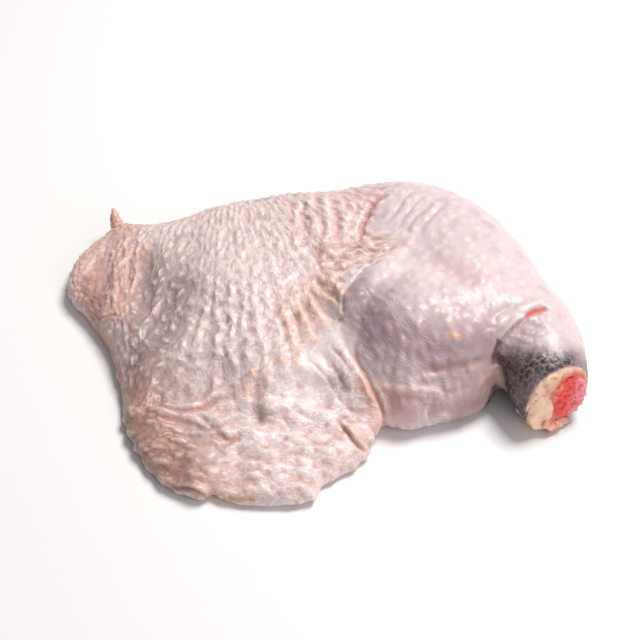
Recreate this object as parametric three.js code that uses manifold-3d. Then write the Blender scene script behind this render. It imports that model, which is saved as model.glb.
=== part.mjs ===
// A raw chicken leg with its skin on: thigh, drumstick and hock in one piece,
// cut through the hock joint. It lies on its cut side, with the skin spread
// out round the thigh as a thin hem. Millimetres, +Z up. The origin is on the
// resting plane under the middle of the leg, +X points from the tail flap to
// the hock, and +Y from the skin hem to the shin.

import * as THREE from 'three';
import { ImprovedNoise } from 'three/addons/math/ImprovedNoise.js';
import { mergeVertices } from 'three/addons/utils/BufferGeometryUtils.js';
import Module from 'manifold-3d';

// Driving sizes
const LEG_LENGTH = 197;
const LEG_WIDTH = 151;
const LEG_HEIGHT = 38;
const CELL = 3.1;           // side of one cell of the grid that the skin is meshed on
const SUNK = 3;             // how far the rounded underside runs below the resting plane
const CLEARANCE = 0.35;     // gap round a piece that sits in the cut hock
const JOIN = 5;             // radius of the skin's fillet between the drumstick and the hock

// How far the side rolls in for each millimetre of height, over the widest line and under it
const ROLL = { over: 1.15, under: 1.35, least: 4 };

// Gentle rise and fall of the whole upper skin
const SWAY = { height: 1.2, length: 24 };

// The leg seen from above, from the nub on the tail flap round the skin hem.
// rim is the height of the widest line of each stretch.
const OUTLINE = [
  { part: 'tail flap', rim: 5, points: [[-81, 63], [-89, 56], [-96, 47], [-99, 35], [-98, 26.5], [-90, 16]] },
  { part: 'skin hem', rim: 2.6, points: [[-81, 1], [-74.5, -20], [-71.5, -36], [-64.5, -54], [-55, -66.5],
    [-46, -71], [-41.5, -72.5], [-37.7, -69.5], [-33, -73.5], [-12, -74.5], [-1, -71.5], [1.5, -65.5], [10, -60],
    [18.5, -50.5]] },
  { part: 'drumstick front', rim: 8, points: [[22.5, -38.5], [32, -41.5], [43, -38.5], [55, -35.5], [63, -30]] },
  { part: 'cleft', rim: 12, points: [[67, -23.5], [72, -19.5], [80, -17], [88, -13.5]] },
  { part: 'shin', rim: 17, points: [[91, -2], [89, 12], [84.5, 26], [78, 40], [71, 52], [61, 62.5], [47, 71], [34, 74]] },
  { part: 'thigh back', rim: 12, points: [[18, 74.5], [2, 72.5], [-18, 71.5], [-36, 68], [-54, 61.5], [-68, 58]] },
];

// Heights of the upper skin over the resting plane, with how far each reaches
const TOPS = [
  { part: 'tail flap', at: [-88, 38], top: 10, reach: 16 },
  { part: 'thigh, outer', at: [-60, 42], top: 18, reach: 20 },
  { part: 'thigh, left', at: [-55, 2], top: 15, reach: 22 },
  { part: 'thigh, middle', at: [-25, 22], top: 26, reach: 26 },
  { part: 'thigh, back', at: [-28, 52], top: 24, reach: 20 },
  { part: 'knee', at: [4, 50], top: 29, reach: 22 },
  { part: 'thigh, front', at: [-8, -14], top: 21, reach: 22 },
  { part: 'hem, left', at: [-58, -42], top: 7, reach: 22 },
  { part: 'hem, middle', at: [-28, -54], top: 8, reach: 22 },
  { part: 'hem, right', at: [4, -48], top: 9, reach: 18 },
  { part: 'knee bend', at: [22, 22], top: 29, reach: 18 },
  { part: 'drumstick belly', at: [44, -2], top: 38, reach: 26 },
  { part: 'drumstick front', at: [42, -34], top: 26, reach: 12 },
  { part: 'shin, upper', at: [36, 54], top: 34, reach: 22 },
  { part: 'shin, middle', at: [66, 32], top: 36, reach: 20 },
  { part: 'shin, lower', at: [82, 8], top: 32, reach: 14 },
];

// Folds of the skin: ridges where lift is above 0 and creases where it is below,
// with the width of the slope on the left and on the right of the path
const FOLDS = [
  { part: 'thigh skin over the drumstick', lift: 2.8, left: 3.5, right: 11,
    path: [[34, 31], [28, 18], [21, 9], [15, 1], [11, -8], [7, -20]] },
  { part: 'hollow beside it', lift: -2.2, left: 8, right: 5, path: [[39, 28], [32, 14], [25, 5], [19, -5], [16, -16], [15, -26]] },
  { part: 'knee crease', lift: -3, left: 5, right: 5, path: [[23, 56], [17, 42], [14, 32], [13, 22]] },
  { part: 'knee fold, right', lift: -2, left: 4.5, right: 4.5, path: [[4, 58], [7, 44], [8, 30], [4, 19], [-2, 11]] },
  { part: 'knee fold, left', lift: -1.8, left: 4.5, right: 4.5, path: [[-9, 60], [-5, 42], [-4, 26], [-9, 12]] },
  { part: 'drumstick hollow', lift: -2.4, left: 5, right: 9, path: [[38, 23], [46, 13], [51, 7], [58, 0]] },
  { part: 'shin tendon', lift: 2.2, left: 5, right: 4, path: [[48, -26], [57, -18], [67, -10], [77, -2], [86, 5]] },
  { part: 'crease over the hock', lift: -4, left: 4.5, right: 5, path: [[63, -26], [67, -18], [71, -12], [77, -7], [87, -2]] },
  { part: 'roll between hem and drumstick', lift: 4, left: 4, right: 4, path: [[19, -29], [21.5, -36], [22, -44]] },
  { part: 'roll of the hem', lift: 2.6, left: 4, right: 6, path: [[3, -10], [9, -22], [13, -31], [16, -40], [13, -50]] },
  { part: 'tail ridge', lift: 2.2, left: 4, right: 4, path: [[-77, 50], [-80, 38], [-79, 28], [-81, 16]] },
  { part: 'tail crease', lift: -2, left: 4, right: 4, path: [[-72, 50], [-74, 34], [-74, 20], [-77, 9]] },
  { part: 'tail root', lift: -2.4, left: 6, right: 6, path: [[-64, 52], [-68, 36], [-67, 19], [-70, 2]] },
  { part: 'tail tuck', lift: -2.4, left: 4.5, right: 4.5, path: [[-94, 17], [-88, 15], [-78, 11]] },
];

// Crumples of the loose skin in the hem: long waves along X, full in front of a line
// across the thigh, and ending at the drumstick on the right
const CRUMPLE = { height: 3.2, length: 26, spacing: 11, from: -14, full: -34, right: 20, fade: 6 };

// The hock: a tube from the shin down to the cut, with its half width and half height
const HOCK = [
  { at: [75, 10, 18], half: [11, 13] },
  { at: [81, -3, 18.5], half: [15, 14.5] },
  { at: [82.8, -15, 17.5], half: [16.5, 15] },
  { at: [84, -26, 15.5], half: [15.6, 14.5] },
  { at: [87, -36, 13.2], half: [13, 12.8] },
  { at: [91.5, -47, 12], half: [12, 12] },
];
const CUT = { at: [87, -36, 13.2], facing: [0.44, -0.88, 0.12] };

// What shows in the cut, each a blunt rod that runs up into the hock. Its place is
// how far it lies across the cut from the middle, and how far up.
const CARTILAGE = { across: -6.9, up: -1.8, half: [4.5, 7.2], proud: 2.2, buried: 10 };
const BONE = { across: 5.1, up: 1.2, half: [5.6, 8.4], proud: 1.2, buried: 24 };

// The small nub that stands up at the back of the tail flap
const NUB = { base: [-80.6, 61.5, 7], tip: [-82.8, 66.5, 12.5], radius: 1.9 };

const wasm = await Module();
wasm.setup();
const grain = new ImprovedNoise();

const SKIN = new THREE.MeshStandardMaterial({ color: '#e8cfc9', roughness: 0.42, metalness: 0 });
const GRISTLE = new THREE.MeshStandardMaterial({ color: '#f0d3a8', roughness: 0.35, metalness: 0 });
const MARROW = new THREE.MeshStandardMaterial({ color: '#d2393f', roughness: 0.25, metalness: 0 });

// The outline as one closed curve, sampled evenly, with the rim height of each sample
function drawOutline() {
  const points = OUTLINE.flatMap(({ points }) => points.map(([x, y]) => new THREE.Vector3(x, y, 0)));
  const rims = OUTLINE.flatMap(({ rim, points }) => points.map(() => rim));
  const curve = new THREE.CatmullRomCurve3(points, true, 'centripetal');
  const stepsPerPoint = 7;
  const samples = [];
  for (let i = 0; i < points.length * stepsPerPoint; i++) {
    const along = i / stepsPerPoint;
    const before = Math.floor(along);
    const after = (before + 1) % points.length;
    const at = curve.getPoint(along / points.length);
    samples.push({ x: at.x, y: at.y, rim: THREE.MathUtils.lerp(rims[before], rims[after], along - before) });
  }
  return samples;
}

const outline = drawOutline();

// How far a point of the plan lies inside the outline (less than 0 outside), and its rim height
function readOutline(x, y) {
  let nearest = Infinity;
  let inside = false;
  let weightSum = 0;
  let rimSum = 0;
  for (let i = 0; i < outline.length; i++) {
    const a = outline[i];
    const b = outline[(i + 1) % outline.length];
    const dx = b.x - a.x;
    const dy = b.y - a.y;
    const along = THREE.MathUtils.clamp(((x - a.x) * dx + (y - a.y) * dy) / (dx * dx + dy * dy), 0, 1);
    const distance = Math.hypot(x - a.x - along * dx, y - a.y - along * dy);
    nearest = Math.min(nearest, distance);
    if ((a.y > y) !== (b.y > y) && x < a.x + ((y - a.y) / dy) * dx) inside = !inside;
    const weight = 1 / (distance * distance + 1) ** 2;
    weightSum += weight;
    rimSum += weight * a.rim;
  }
  return { depth: inside ? nearest : -nearest, rim: rimSum / weightSum };
}

const foldLines = FOLDS.map(({ path, lift, left, right }) => {
  const curve = new THREE.CatmullRomCurve3(path.map(([x, y]) => new THREE.Vector3(x, y, 0)));
  return { points: curve.getSpacedPoints(30), lift, left, right };
});

// How much one fold lifts or sinks the skin: it fades to both sides and both ends
function readFold({ points, lift, left, right }, x, y) {
  let nearest = 0;
  let distance = Infinity;
  points.forEach((point, i) => {
    const away = Math.hypot(x - point.x, y - point.y);
    if (away < distance) [nearest, distance] = [i, away];
  });
  const last = points.length - 1;
  const before = points[Math.max(nearest - 1, 0)];
  const after = points[Math.min(nearest + 1, last)];
  const onLeft = (after.x - before.x) * (y - before.y) > (after.y - before.y) * (x - before.x);
  const share = distance / (onLeft ? left : right);
  if (share >= 1) return 0;
  const taper = Math.sin(Math.PI * (nearest / last)) ** 0.6;
  return lift * taper * Math.cos((share * Math.PI) / 2) ** 2;
}

// Height of the upper skin: the named heights, each weighed by its nearness,
// with the folds and crumples on top
function readTop(x, y) {
  const farWeight = 1e-4;
  let weightSum = 0;
  let topSum = 0;
  for (const { at, top, reach } of TOPS) {
    const away = ((x - at[0]) ** 2 + (y - at[1]) ** 2) / reach ** 2;
    const weight = Math.exp(-1.3 * away) + farWeight;
    weightSum += weight;
    topSum += weight * top;
  }
  const sway = SWAY.height * grain.noise(x / SWAY.length, y / SWAY.length, 0.5);
  const folded = foldLines.reduce((sum, fold) => sum + readFold(fold, x, y), 0);
  const wave = 0.5 - Math.abs(grain.noise(x / CRUMPLE.length, y / CRUMPLE.spacing, 7.5)) * 2;
  const loose = THREE.MathUtils.smoothstep(-y, -CRUMPLE.from, -CRUMPLE.full);
  const onHem = 1 - THREE.MathUtils.smoothstep(x, CRUMPLE.right - CRUMPLE.fade, CRUMPLE.right);
  return topSum / weightSum + sway + folded + CRUMPLE.height * wave * loose * onHem;
}

function plan(x, y) {
  const { depth, rim } = readOutline(x, y);
  return { depth, rim, top: Math.max(readTop(x, y), rim + 2.5) };
}

// Thigh and drumstick: less than 0 inside, in millimetres near the skin. The
// side rolls in over the top and under the rim as a quarter of an ellipse.
function meat(z, { depth, rim, top }) {
  const above = z >= rim;
  const rise = above ? top - rim : rim + SUNK;
  const roll = Math.max(ROLL.least, above ? ROLL.over * rise : ROLL.under * rim);
  const across = 1 - Math.min(depth / roll, 1);
  const up = Math.abs(z - rim) / rise;
  const reach = Math.hypot(across, up);
  const scale = (across * across * roll + up * up * rise) / (reach * reach);
  return (reach - 1) * scale;
}

const hockAxis = new THREE.CatmullRomCurve3(HOCK.map(({ at }) => new THREE.Vector3(...at)));
const hockSamples = hockAxis.getPoints(40).map((at, i, all) => {
  const along = (i / (all.length - 1)) * (HOCK.length - 1);
  const before = Math.min(Math.floor(along), HOCK.length - 2);
  const share = along - before;
  const mix = (k) => THREE.MathUtils.lerp(HOCK[before].half[k], HOCK[before + 1].half[k], share);
  return { at, wide: mix(0), high: mix(1) };
});
const cutAt = new THREE.Vector3(...CUT.at);
const cutFacing = new THREE.Vector3(...CUT.facing).normalize();

// The hock, cut off square at its end
function hock(point) {
  let nearest = hockSamples[0];
  for (const sample of hockSamples) {
    if (sample.at.distanceToSquared(point) < nearest.at.distanceToSquared(point)) nearest = sample;
  }
  const flat = Math.hypot(point.x - nearest.at.x, point.y - nearest.at.y);
  const up = point.z - nearest.at.z;
  const reach = Math.hypot(flat / nearest.wide, up / nearest.high);
  const tube = (reach - 1) * Math.min(nearest.wide, nearest.high);
  const pastCut = point.clone().sub(cutAt).dot(cutFacing);
  return Math.max(tube, pastCut);
}

function smoothMin(a, b, radius) {
  const blend = Math.max(radius - Math.abs(a - b), 0) / radius;
  return Math.min(a, b) - (blend * blend * radius) / 4;
}

function legField(point, columnPlan) {
  const body = meat(point.z, columnPlan ?? plan(point.x, point.y));
  return smoothMin(body, hock(point), JOIN);
}

function gridLine(from, to) {
  const cells = Math.ceil((to - from) / CELL);
  return Array.from({ length: cells + 1 }, (_, i) => from + (i * (to - from)) / cells);
}

// Where two opposite corners of a grid face are inside and the other two outside,
// the mesh would touch itself along an edge, so the less outward one goes inside
function fillPinches(values, countX, countY, countZ) {
  const justInside = -0.01;
  const steps = [countY * countZ, countZ, 1];
  const stepPairs = [[steps[0], steps[1]], [steps[0], steps[2]], [steps[1], steps[2]]];
  let pinched = true;
  while (pinched) {
    pinched = false;
    for (let here = 0; here + steps[0] + steps[1] < countX * countY * countZ; here++) {
      for (const [stepA, stepB] of stepPairs) {
        const face = [here, here + stepA, here + stepA + stepB, here + stepB];
        const [a, b, c, d] = face.map((corner) => values[corner] < 0);
        if (a !== c || b !== d || a === b) continue;
        const outer = a ? [face[1], face[3]] : [face[0], face[2]];
        values[values[outer[0]] < values[outer[1]] ? outer[0] : outer[1]] = justInside;
        pinched = true;
      }
    }
  }
}

// Meshes the skin of a field on a grid: one vertex in each cell that the skin
// crosses, drawn onto the skin, and one quad round each grid edge it crosses.
function meshField(field, xs, ys, zs) {
  const index = (i, j, k) => (i * ys.length + j) * zs.length + k;
  const values = new Float64Array(xs.length * ys.length * zs.length);
  const probe = new THREE.Vector3();
  for (let i = 0; i < xs.length; i++) {
    for (let j = 0; j < ys.length; j++) {
      const columnPlan = plan(xs[i], ys[j]);
      for (let k = 0; k < zs.length; k++) {
        values[index(i, j, k)] = field(probe.set(xs[i], ys[j], zs[k]), columnPlan);
      }
    }
  }

  fillPinches(values, xs.length, ys.length, zs.length);

  const corners = [[0, 0, 0], [1, 0, 0], [0, 1, 0], [1, 1, 0], [0, 0, 1], [1, 0, 1], [0, 1, 1], [1, 1, 1]];
  const edges = [[0, 1], [2, 3], [4, 5], [6, 7], [0, 2], [1, 3], [4, 6], [5, 7], [0, 4], [1, 5], [2, 6], [3, 7]];
  const vertices = [];
  const vertexOf = new Map();
  for (let i = 0; i < xs.length - 1; i++) {
    for (let j = 0; j < ys.length - 1; j++) {
      for (let k = 0; k < zs.length - 1; k++) {
        const middle = new THREE.Vector3();
        let crossings = 0;
        for (const [a, b] of edges) {
          const [ai, aj, ak] = corners[a];
          const [bi, bj, bk] = corners[b];
          const from = values[index(i + ai, j + aj, k + ak)];
          const to = values[index(i + bi, j + bj, k + bk)];
          if (from < 0 === to < 0) continue;
          const share = from / (from - to);
          middle.x += THREE.MathUtils.lerp(xs[i + ai], xs[i + bi], share);
          middle.y += THREE.MathUtils.lerp(ys[j + aj], ys[j + bj], share);
          middle.z += THREE.MathUtils.lerp(zs[k + ak], zs[k + bk], share);
          crossings++;
        }
        if (crossings === 0) continue;
        vertexOf.set(index(i, j, k), vertices.length);
        vertices.push(drawOntoSkin(field, middle.divideScalar(crossings)));
      }
    }
  }

  const triangles = [];
  const quad = (cells, flip) => {
    const [a, b, c, d] = cells.map(([i, j, k]) => vertexOf.get(index(i, j, k)));
    const shortFirst = vertices[a].distanceToSquared(vertices[c]) < vertices[b].distanceToSquared(vertices[d]);
    const pair = shortFirst ? [[a, b, c], [a, c, d]] : [[b, c, d], [b, d, a]];
    for (const [p, q, r] of pair) triangles.push(...(flip ? [p, r, q] : [p, q, r]));
  };
  for (let i = 1; i < xs.length - 1; i++) {
    for (let j = 1; j < ys.length - 1; j++) {
      for (let k = 1; k < zs.length - 1; k++) {
        const here = values[index(i, j, k)] < 0;
        if (here !== values[index(i + 1, j, k)] < 0) {
          quad([[i, j - 1, k - 1], [i, j, k - 1], [i, j, k], [i, j - 1, k]], !here);
        }
        if (here !== values[index(i, j + 1, k)] < 0) {
          quad([[i - 1, j, k - 1], [i - 1, j, k], [i, j, k], [i, j, k - 1]], !here);
        }
        if (here !== values[index(i, j, k + 1)] < 0) {
          quad([[i - 1, j - 1, k], [i, j - 1, k], [i, j, k], [i - 1, j, k]], !here);
        }
      }
    }
  }
  return { vertices, triangles };
}

// Moves a vertex along the field's slope until it is on the skin, within its cell
function drawOntoSkin(field, start) {
  const point = start.clone();
  const step = 0.05;
  for (let pass = 0; pass < 2; pass++) {
    const value = field(point);
    const slope = new THREE.Vector3(
      field(point.clone().setX(point.x + step)) - value,
      field(point.clone().setY(point.y + step)) - value,
      field(point.clone().setZ(point.z + step)) - value,
    ).divideScalar(step);
    point.addScaledVector(slope, -value / Math.max(slope.lengthSq(), 0.25));
  }
  const nearCell = new THREE.Vector3(0.45 * CELL, 0.45 * CELL, 0.45 * CELL);
  return point.clamp(start.clone().sub(nearCell), start.clone().add(nearCell));
}

function solidFromTriangles(vertProperties, triVerts) {
  return new wasm.Manifold(new wasm.Mesh({ numProp: 3, vertProperties, triVerts }));
}

function solidFromGeometry(source) {
  const bare = source.clone();
  bare.deleteAttribute('normal');
  bare.deleteAttribute('uv');
  const merged = mergeVertices(bare, 1e-4);
  return solidFromTriangles(new Float32Array(merged.attributes.position.array), new Uint32Array(merged.index.array));
}

function meshFromSolid(name, solid, material) {
  const { vertProperties, triVerts } = solid.getMesh();
  const geometry = new THREE.BufferGeometry();
  geometry.setAttribute('position', new THREE.BufferAttribute(vertProperties, 3));
  geometry.setIndex(new THREE.BufferAttribute(triVerts, 1));
  const mesh = new THREE.Mesh(geometry, material);
  mesh.name = name;
  return mesh;
}

// A blunt, slightly lumpy rod in the cut hock, larger all round by `spare`
function rodInCut({ across, up, half, proud, buried }, spare) {
  const sides = 20;
  const blunt = 3;
  const length = proud + buried;
  const profile = [new THREE.Vector2(0, -spare)];
  for (let i = 0; i <= 4; i++) {
    const turn = (i / 4) * (Math.PI / 2);
    profile.push(new THREE.Vector2(1 - (blunt / 8) * (1 - Math.sin(turn)), blunt * (1 - Math.cos(turn)) - spare));
  }
  profile.push(new THREE.Vector2(1, length * 0.5));
  profile.push(new THREE.Vector2(0.8, length + spare));
  profile.push(new THREE.Vector2(0, length + spare));
  const rod = new THREE.LatheGeometry(profile, sides);
  rod.scale(half[0] + spare, 1, half[1] + spare);
  const inward = cutFacing.clone().negate();
  const sideways = new THREE.Vector3(0, 0, 1).cross(cutFacing).normalize();
  const upright = new THREE.Vector3().crossVectors(sideways, inward);
  rod.applyMatrix4(new THREE.Matrix4().makeBasis(sideways, inward, upright));
  const start = cutAt.clone().addScaledVector(sideways, across).addScaledVector(upright, up);
  start.addScaledVector(cutFacing, proud);
  rod.translate(start.x, start.y, start.z);
  return solidFromGeometry(rod);
}

// The pointed nub at the back of the tail flap
function nubSolid() {
  const base = new THREE.Vector3(...NUB.base);
  const tip = new THREE.Vector3(...NUB.tip);
  const axis = tip.clone().sub(base);
  const profile = [[0, 0], [1, 0], [0.75, 0.35], [0.62, 0.75], [0.4, 0.95], [0, 1]];
  const nub = new THREE.LatheGeometry(profile.map(([r, h]) => new THREE.Vector2(r * NUB.radius, h * axis.length())), 10);
  nub.applyQuaternion(new THREE.Quaternion().setFromUnitVectors(new THREE.Vector3(0, 1, 0), axis.normalize()));
  nub.translate(base.x, base.y, base.z);
  return solidFromGeometry(nub);
}

function legSolid() {
  const room = 8;
  const xs = gridLine(-LEG_LENGTH / 2 - room, LEG_LENGTH / 2 + room);
  const ys = gridLine(-LEG_WIDTH / 2 - room, LEG_WIDTH / 2 + room);
  const zs = gridLine(-SUNK - room, LEG_HEIGHT + room);
  const { vertices, triangles } = meshField(legField, xs, ys, zs);
  const skin = solidFromTriangles(
    Float32Array.from(vertices.flatMap((vertex) => vertex.toArray())),
    Uint32Array.from(triangles),
  );
  const floorDepth = 30;
  const below = new THREE.BoxGeometry(2 * LEG_LENGTH, 2 * LEG_WIDTH, floorDepth);
  below.translate(0, 0, -floorDepth / 2);
  return skin
    .add(nubSolid())
    .subtract(solidFromGeometry(below))
    .subtract(rodInCut(CARTILAGE, CLEARANCE))
    .subtract(rodInCut(BONE, CLEARANCE));
}

const chickenLeg = new THREE.Group();
chickenLeg.add(meshFromSolid('leg', legSolid(), SKIN));
chickenLeg.add(meshFromSolid('hock_cartilage', rodInCut(CARTILAGE, 0), GRISTLE));
chickenLeg.add(meshFromSolid('shin_bone', rodInCut(BONE, 0), MARROW));

export default chickenLeg;
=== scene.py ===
# A raw chicken leg with its skin on, cut through the hock and lying on its cut side. The packed
# model gives the pieces and their places, and this script gives them their looks. Blender works
# in metres; the relief of the skin is worked out in millimetres.
import math

import bmesh
import bpy
import numpy as np
from mathutils import Matrix, Vector, noise


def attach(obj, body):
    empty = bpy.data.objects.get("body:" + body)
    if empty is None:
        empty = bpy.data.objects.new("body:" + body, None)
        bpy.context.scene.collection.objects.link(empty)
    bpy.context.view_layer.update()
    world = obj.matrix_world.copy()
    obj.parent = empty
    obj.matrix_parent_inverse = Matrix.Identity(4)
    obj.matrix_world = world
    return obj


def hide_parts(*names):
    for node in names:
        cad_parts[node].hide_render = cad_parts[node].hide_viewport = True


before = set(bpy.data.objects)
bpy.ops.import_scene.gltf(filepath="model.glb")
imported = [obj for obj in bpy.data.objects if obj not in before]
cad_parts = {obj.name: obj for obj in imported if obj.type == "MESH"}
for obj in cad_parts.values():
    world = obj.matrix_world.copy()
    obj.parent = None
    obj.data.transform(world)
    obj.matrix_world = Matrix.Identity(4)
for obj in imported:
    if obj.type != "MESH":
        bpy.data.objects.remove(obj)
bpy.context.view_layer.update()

# Camera: it looks along +Y and down on the leg from 46 degrees over the table, from far enough
# away, with a long lens, that the far side of the leg is nearly as large as the near side.
camera_rise = math.radians(46)
camera_distance = 0.72
camera_target = Vector((0.00045, 0.0187, 0))
camera = bpy.data.objects.new("camera", bpy.data.cameras.new("camera"))
camera.data.lens = 103.3
camera_back = Vector((0, -math.cos(camera_rise), math.sin(camera_rise)))
camera.location = camera_target + camera_back * camera_distance
camera.rotation_euler = (math.pi / 2 - camera_rise, 0, 0)
bpy.context.scene.collection.objects.link(camera)
bpy.context.scene.camera = camera


def linear(hex_colour):
    """An sRGB hex colour as linear red, green, blue and alpha."""
    parts = [int(hex_colour[i:i + 2], 16) / 255 for i in (1, 3, 5)]
    return [c / 12.92 if c <= 0.04045 else ((c + 0.055) / 1.055) ** 2.4 for c in parts] + [1]


def add_node(material, kind, inputs, **settings):
    """Adds a node with its settings. Each input is a value or another node's output."""
    node = material.node_tree.nodes.new(kind)
    for name, value in settings.items():
        setattr(node, name, value)
    for socket, value in inputs.items():
        if isinstance(value, bpy.types.NodeSocket):
            material.node_tree.links.new(value, node.inputs[socket])
        else:
            node.inputs[socket].default_value = value
    return node


def new_material(name):
    """An empty node material, and its shader wired to the output."""
    material = bpy.data.materials.new(name)
    material.use_nodes = True
    shader = material.node_tree.nodes["Principled BSDF"]
    return material, shader


# Studio: a wide sheet of matt white paper as the floor, a large soft lamp high behind the leg on
# the right, which rakes over the feather bumps, and a weak one in front on the right.
paper_half = 3.0
sheet = bmesh.new()
bmesh.ops.create_grid(sheet, x_segments=1, y_segments=1, size=paper_half)
floor = bpy.data.objects.new("studio_paper", bpy.data.meshes.new("studio_paper"))
sheet.to_mesh(floor.data)
sheet.free()
bpy.context.scene.collection.objects.link(floor)
paper, paper_shader = new_material("matt_white_paper")
paper_shader.inputs["Base Color"].default_value = linear("#F6F5F4")
paper_shader.inputs["Roughness"].default_value = 0.9
floor.data.materials.append(paper)


def soft_lamp(name, place, aim, size, watts, tint):
    """A square area lamp, turned towards its aim."""
    lamp = bpy.data.objects.new(name, bpy.data.lights.new(name, "AREA"))
    lamp.data.size = size
    lamp.data.energy = watts
    lamp.data.color = linear(tint)[:3]
    lamp.location = place
    lamp.rotation_euler = (Vector(aim) - Vector(place)).to_track_quat("-Z", "Y").to_euler()
    bpy.context.scene.collection.objects.link(lamp)


soft_lamp("key_lamp", (0.38, 0.30, 0.98), (0, 0, 0), 0.42, 11.6, "#FFFDFA")
soft_lamp("fill_lamp", (0.55, -0.75, 0.55), (0, 0, 0), 0.8, 3.2, "#FCFAFF")
sky = bpy.data.worlds.new("studio_sky")
sky.use_nodes = True
sky.node_tree.nodes["Background"].inputs["Color"].default_value = linear("#F2F3F6")
sky.node_tree.nodes["Background"].inputs["Strength"].default_value = 0.24
bpy.context.scene.world = sky
bpy.context.scene.view_settings.view_transform = "Standard"


def applied(piece):
    """Applies the piece's modifiers to its mesh."""
    graph = bpy.context.evaluated_depsgraph_get()
    done = bpy.data.meshes.new_from_object(piece.evaluated_get(graph))
    piece.modifiers.clear()
    piece.data = done


# Skin of the leg: raw chicken skin over thigh, drumstick and hock, down to the cut. It starts as
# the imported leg, rounded and meshed evenly, and each fold, feather bump and scale is then pressed
# or lifted into it, as a sculptor would. What lies on the floor stays flat.
skin_cell = 0.00062
cut_at = np.array((87, -36, 13.2))
cut_facing = np.array((0.44, -0.88, 0.12))
cut_facing /= np.linalg.norm(cut_facing)
cut_across = np.array((0.894, 0.447, 0))
upward = np.cross(cut_facing, cut_across)


def add_rod(draft, across, up, half_across, half_up, proud, buried):
    """Adds a rod of elliptic section, which runs from the cut up into the hock. Its place in the
    cut and its sizes are in millimetres."""
    middle = cut_at + across * cut_across + up * upward + 0.5 * (proud - buried) * cut_facing
    columns = np.array([cut_across, upward, cut_facing, middle]).T
    to_cut = Matrix([*columns.tolist(), [0, 0, 0, 1]])
    stretch = Matrix.Diagonal((half_across, half_up, proud + buried, 1))
    bmesh.ops.create_cone(draft, cap_ends=True, segments=48, radius1=1, radius2=1, depth=1,
                          matrix=Matrix.Scale(0.001, 4) @ to_cut @ stretch)


skin_draft = bmesh.new()
skin_draft.from_mesh(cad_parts["leg"].data)
bmesh.ops.remove_doubles(skin_draft, verts=skin_draft.verts, dist=1e-6)
nub_base = Vector((-0.0802, 0.0585, 0.003))
nub_tip = Vector((-0.0836, 0.0680, 0.0168))
nub_turn = (nub_tip - nub_base).to_track_quat("Z", "X").to_matrix().to_4x4()
bmesh.ops.create_cone(skin_draft, cap_ends=True, segments=12, radius1=0.0048, radius2=0.0007,
                      depth=(nub_tip - nub_base).length,
                      matrix=Matrix.Translation((nub_base + nub_tip) / 2) @ nub_turn)
add_rod(skin_draft, across=-6.9, up=-1.8, half_across=5.4, half_up=8.1, proud=-0.3, buried=12)
add_rod(skin_draft, across=5.1, up=1.2, half_across=6.5, half_up=9.3, proud=-0.3, buried=26)
skin = bpy.data.objects.new("chicken_skin", bpy.data.meshes.new("chicken_skin"))
skin_draft.to_mesh(skin.data)
skin_draft.free()
bpy.context.scene.collection.objects.link(skin)
rounding = skin.modifiers.new("rounding", "SUBSURF")
rounding.levels = 1
rounding.render_levels = 1
even_cells = skin.modifiers.new("even_cells", "REMESH")
even_cells.mode = "VOXEL"
even_cells.voxel_size = skin_cell
softening = skin.modifiers.new("softening", "SMOOTH")
softening.factor = 0.5
softening.iterations = 12
applied(skin)


def points_of(piece):
    """Where the piece's points are, in millimetres, and which way the surface faces there."""
    at = np.empty(len(piece.data.vertices) * 3)
    piece.data.vertices.foreach_get("co", at)
    outward = np.empty(len(piece.data.vertices) * 3)
    piece.data.vertices.foreach_get("normal", outward)
    return at.reshape(-1, 3) * 1000, outward.reshape(-1, 3)


def move_points(piece, at):
    """Moves the piece's points to their new places, given in millimetres."""
    piece.data.vertices.foreach_set("co", (at / 1000).ravel())
    piece.data.update()


def keep_value(piece, name, values):
    """Keeps a number for each point of the piece, for its material to read."""
    attribute = piece.data.attributes.new(name, "FLOAT", "POINT")
    attribute.data.foreach_set("value", values.astype(np.float32))


place, facing = points_of(skin)
count = len(place)
ends = np.empty(len(skin.data.edges) * 2, dtype=int)
skin.data.edges.foreach_get("vertices", ends)
ends = ends.reshape(-1, 2)
neighbours = np.bincount(ends.ravel(), minlength=count)


def rising(low, high, value):
    """0 up to low, 1 from high on, and smooth between them. It falls where high is below low."""
    share = np.clip((value - low) / (high - low), 0, 1)
    return share * share * (3 - 2 * share)


def blurred(values, rounds):
    """The values averaged with their neighbours on the mesh, over and over."""
    for _ in range(rounds):
        around = np.bincount(ends[:, 0], values[ends[:, 1]], count)
        around += np.bincount(ends[:, 1], values[ends[:, 0]], count)
        values = 0.5 * (values + around / neighbours)
    return values


def cloudy(at, length, seed, stretch=(1, 1, 1)):
    """Smooth noise from -1 to 1 at each point, with swells of about that length."""
    scaled = at / (length * np.array(stretch)) + 17.3 * seed
    return np.array([noise.noise(point) for point in scaled])


# The skin of the drumstick is taut: it bridges the small hollows between the muscles.
bridging_rounds = 150
tight = rising(12, 26, place[:, 0]) * rising(-30, -20, place[:, 1]) * rising(2, 8, place[:, 2])
tight *= rising(92, 78, place[:, 0])
bridged = np.stack([blurred(place[:, axis], bridging_rounds) for axis in range(3)], axis=1)
place += (bridged - place) * tight[:, None]
move_points(skin, place)
place, facing = points_of(skin)

# The skin laid out flat: the plan, with the steep sides unrolled outwards, and made to wander
# a little, so that nothing follows a ruled line.
side_height = 9 + 19 * rising(-45, -15, place[:, 1])
unrolled = 0.55 * np.clip(side_height - place[:, 2], 0, None)
flat = place[:, :2] + facing[:, :2] * unrolled[:, None]
flat[:, 0] += 0.9 * cloudy(place, 9, 1)
flat[:, 1] += 0.9 * cloudy(place, 9, 2)

relief = np.zeros(count)
stain_names = ("pale", "thin", "mauve", "blush", "fat", "brown", "scale", "raw")
tints = {name: np.zeros(count) for name in stain_names}


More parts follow.
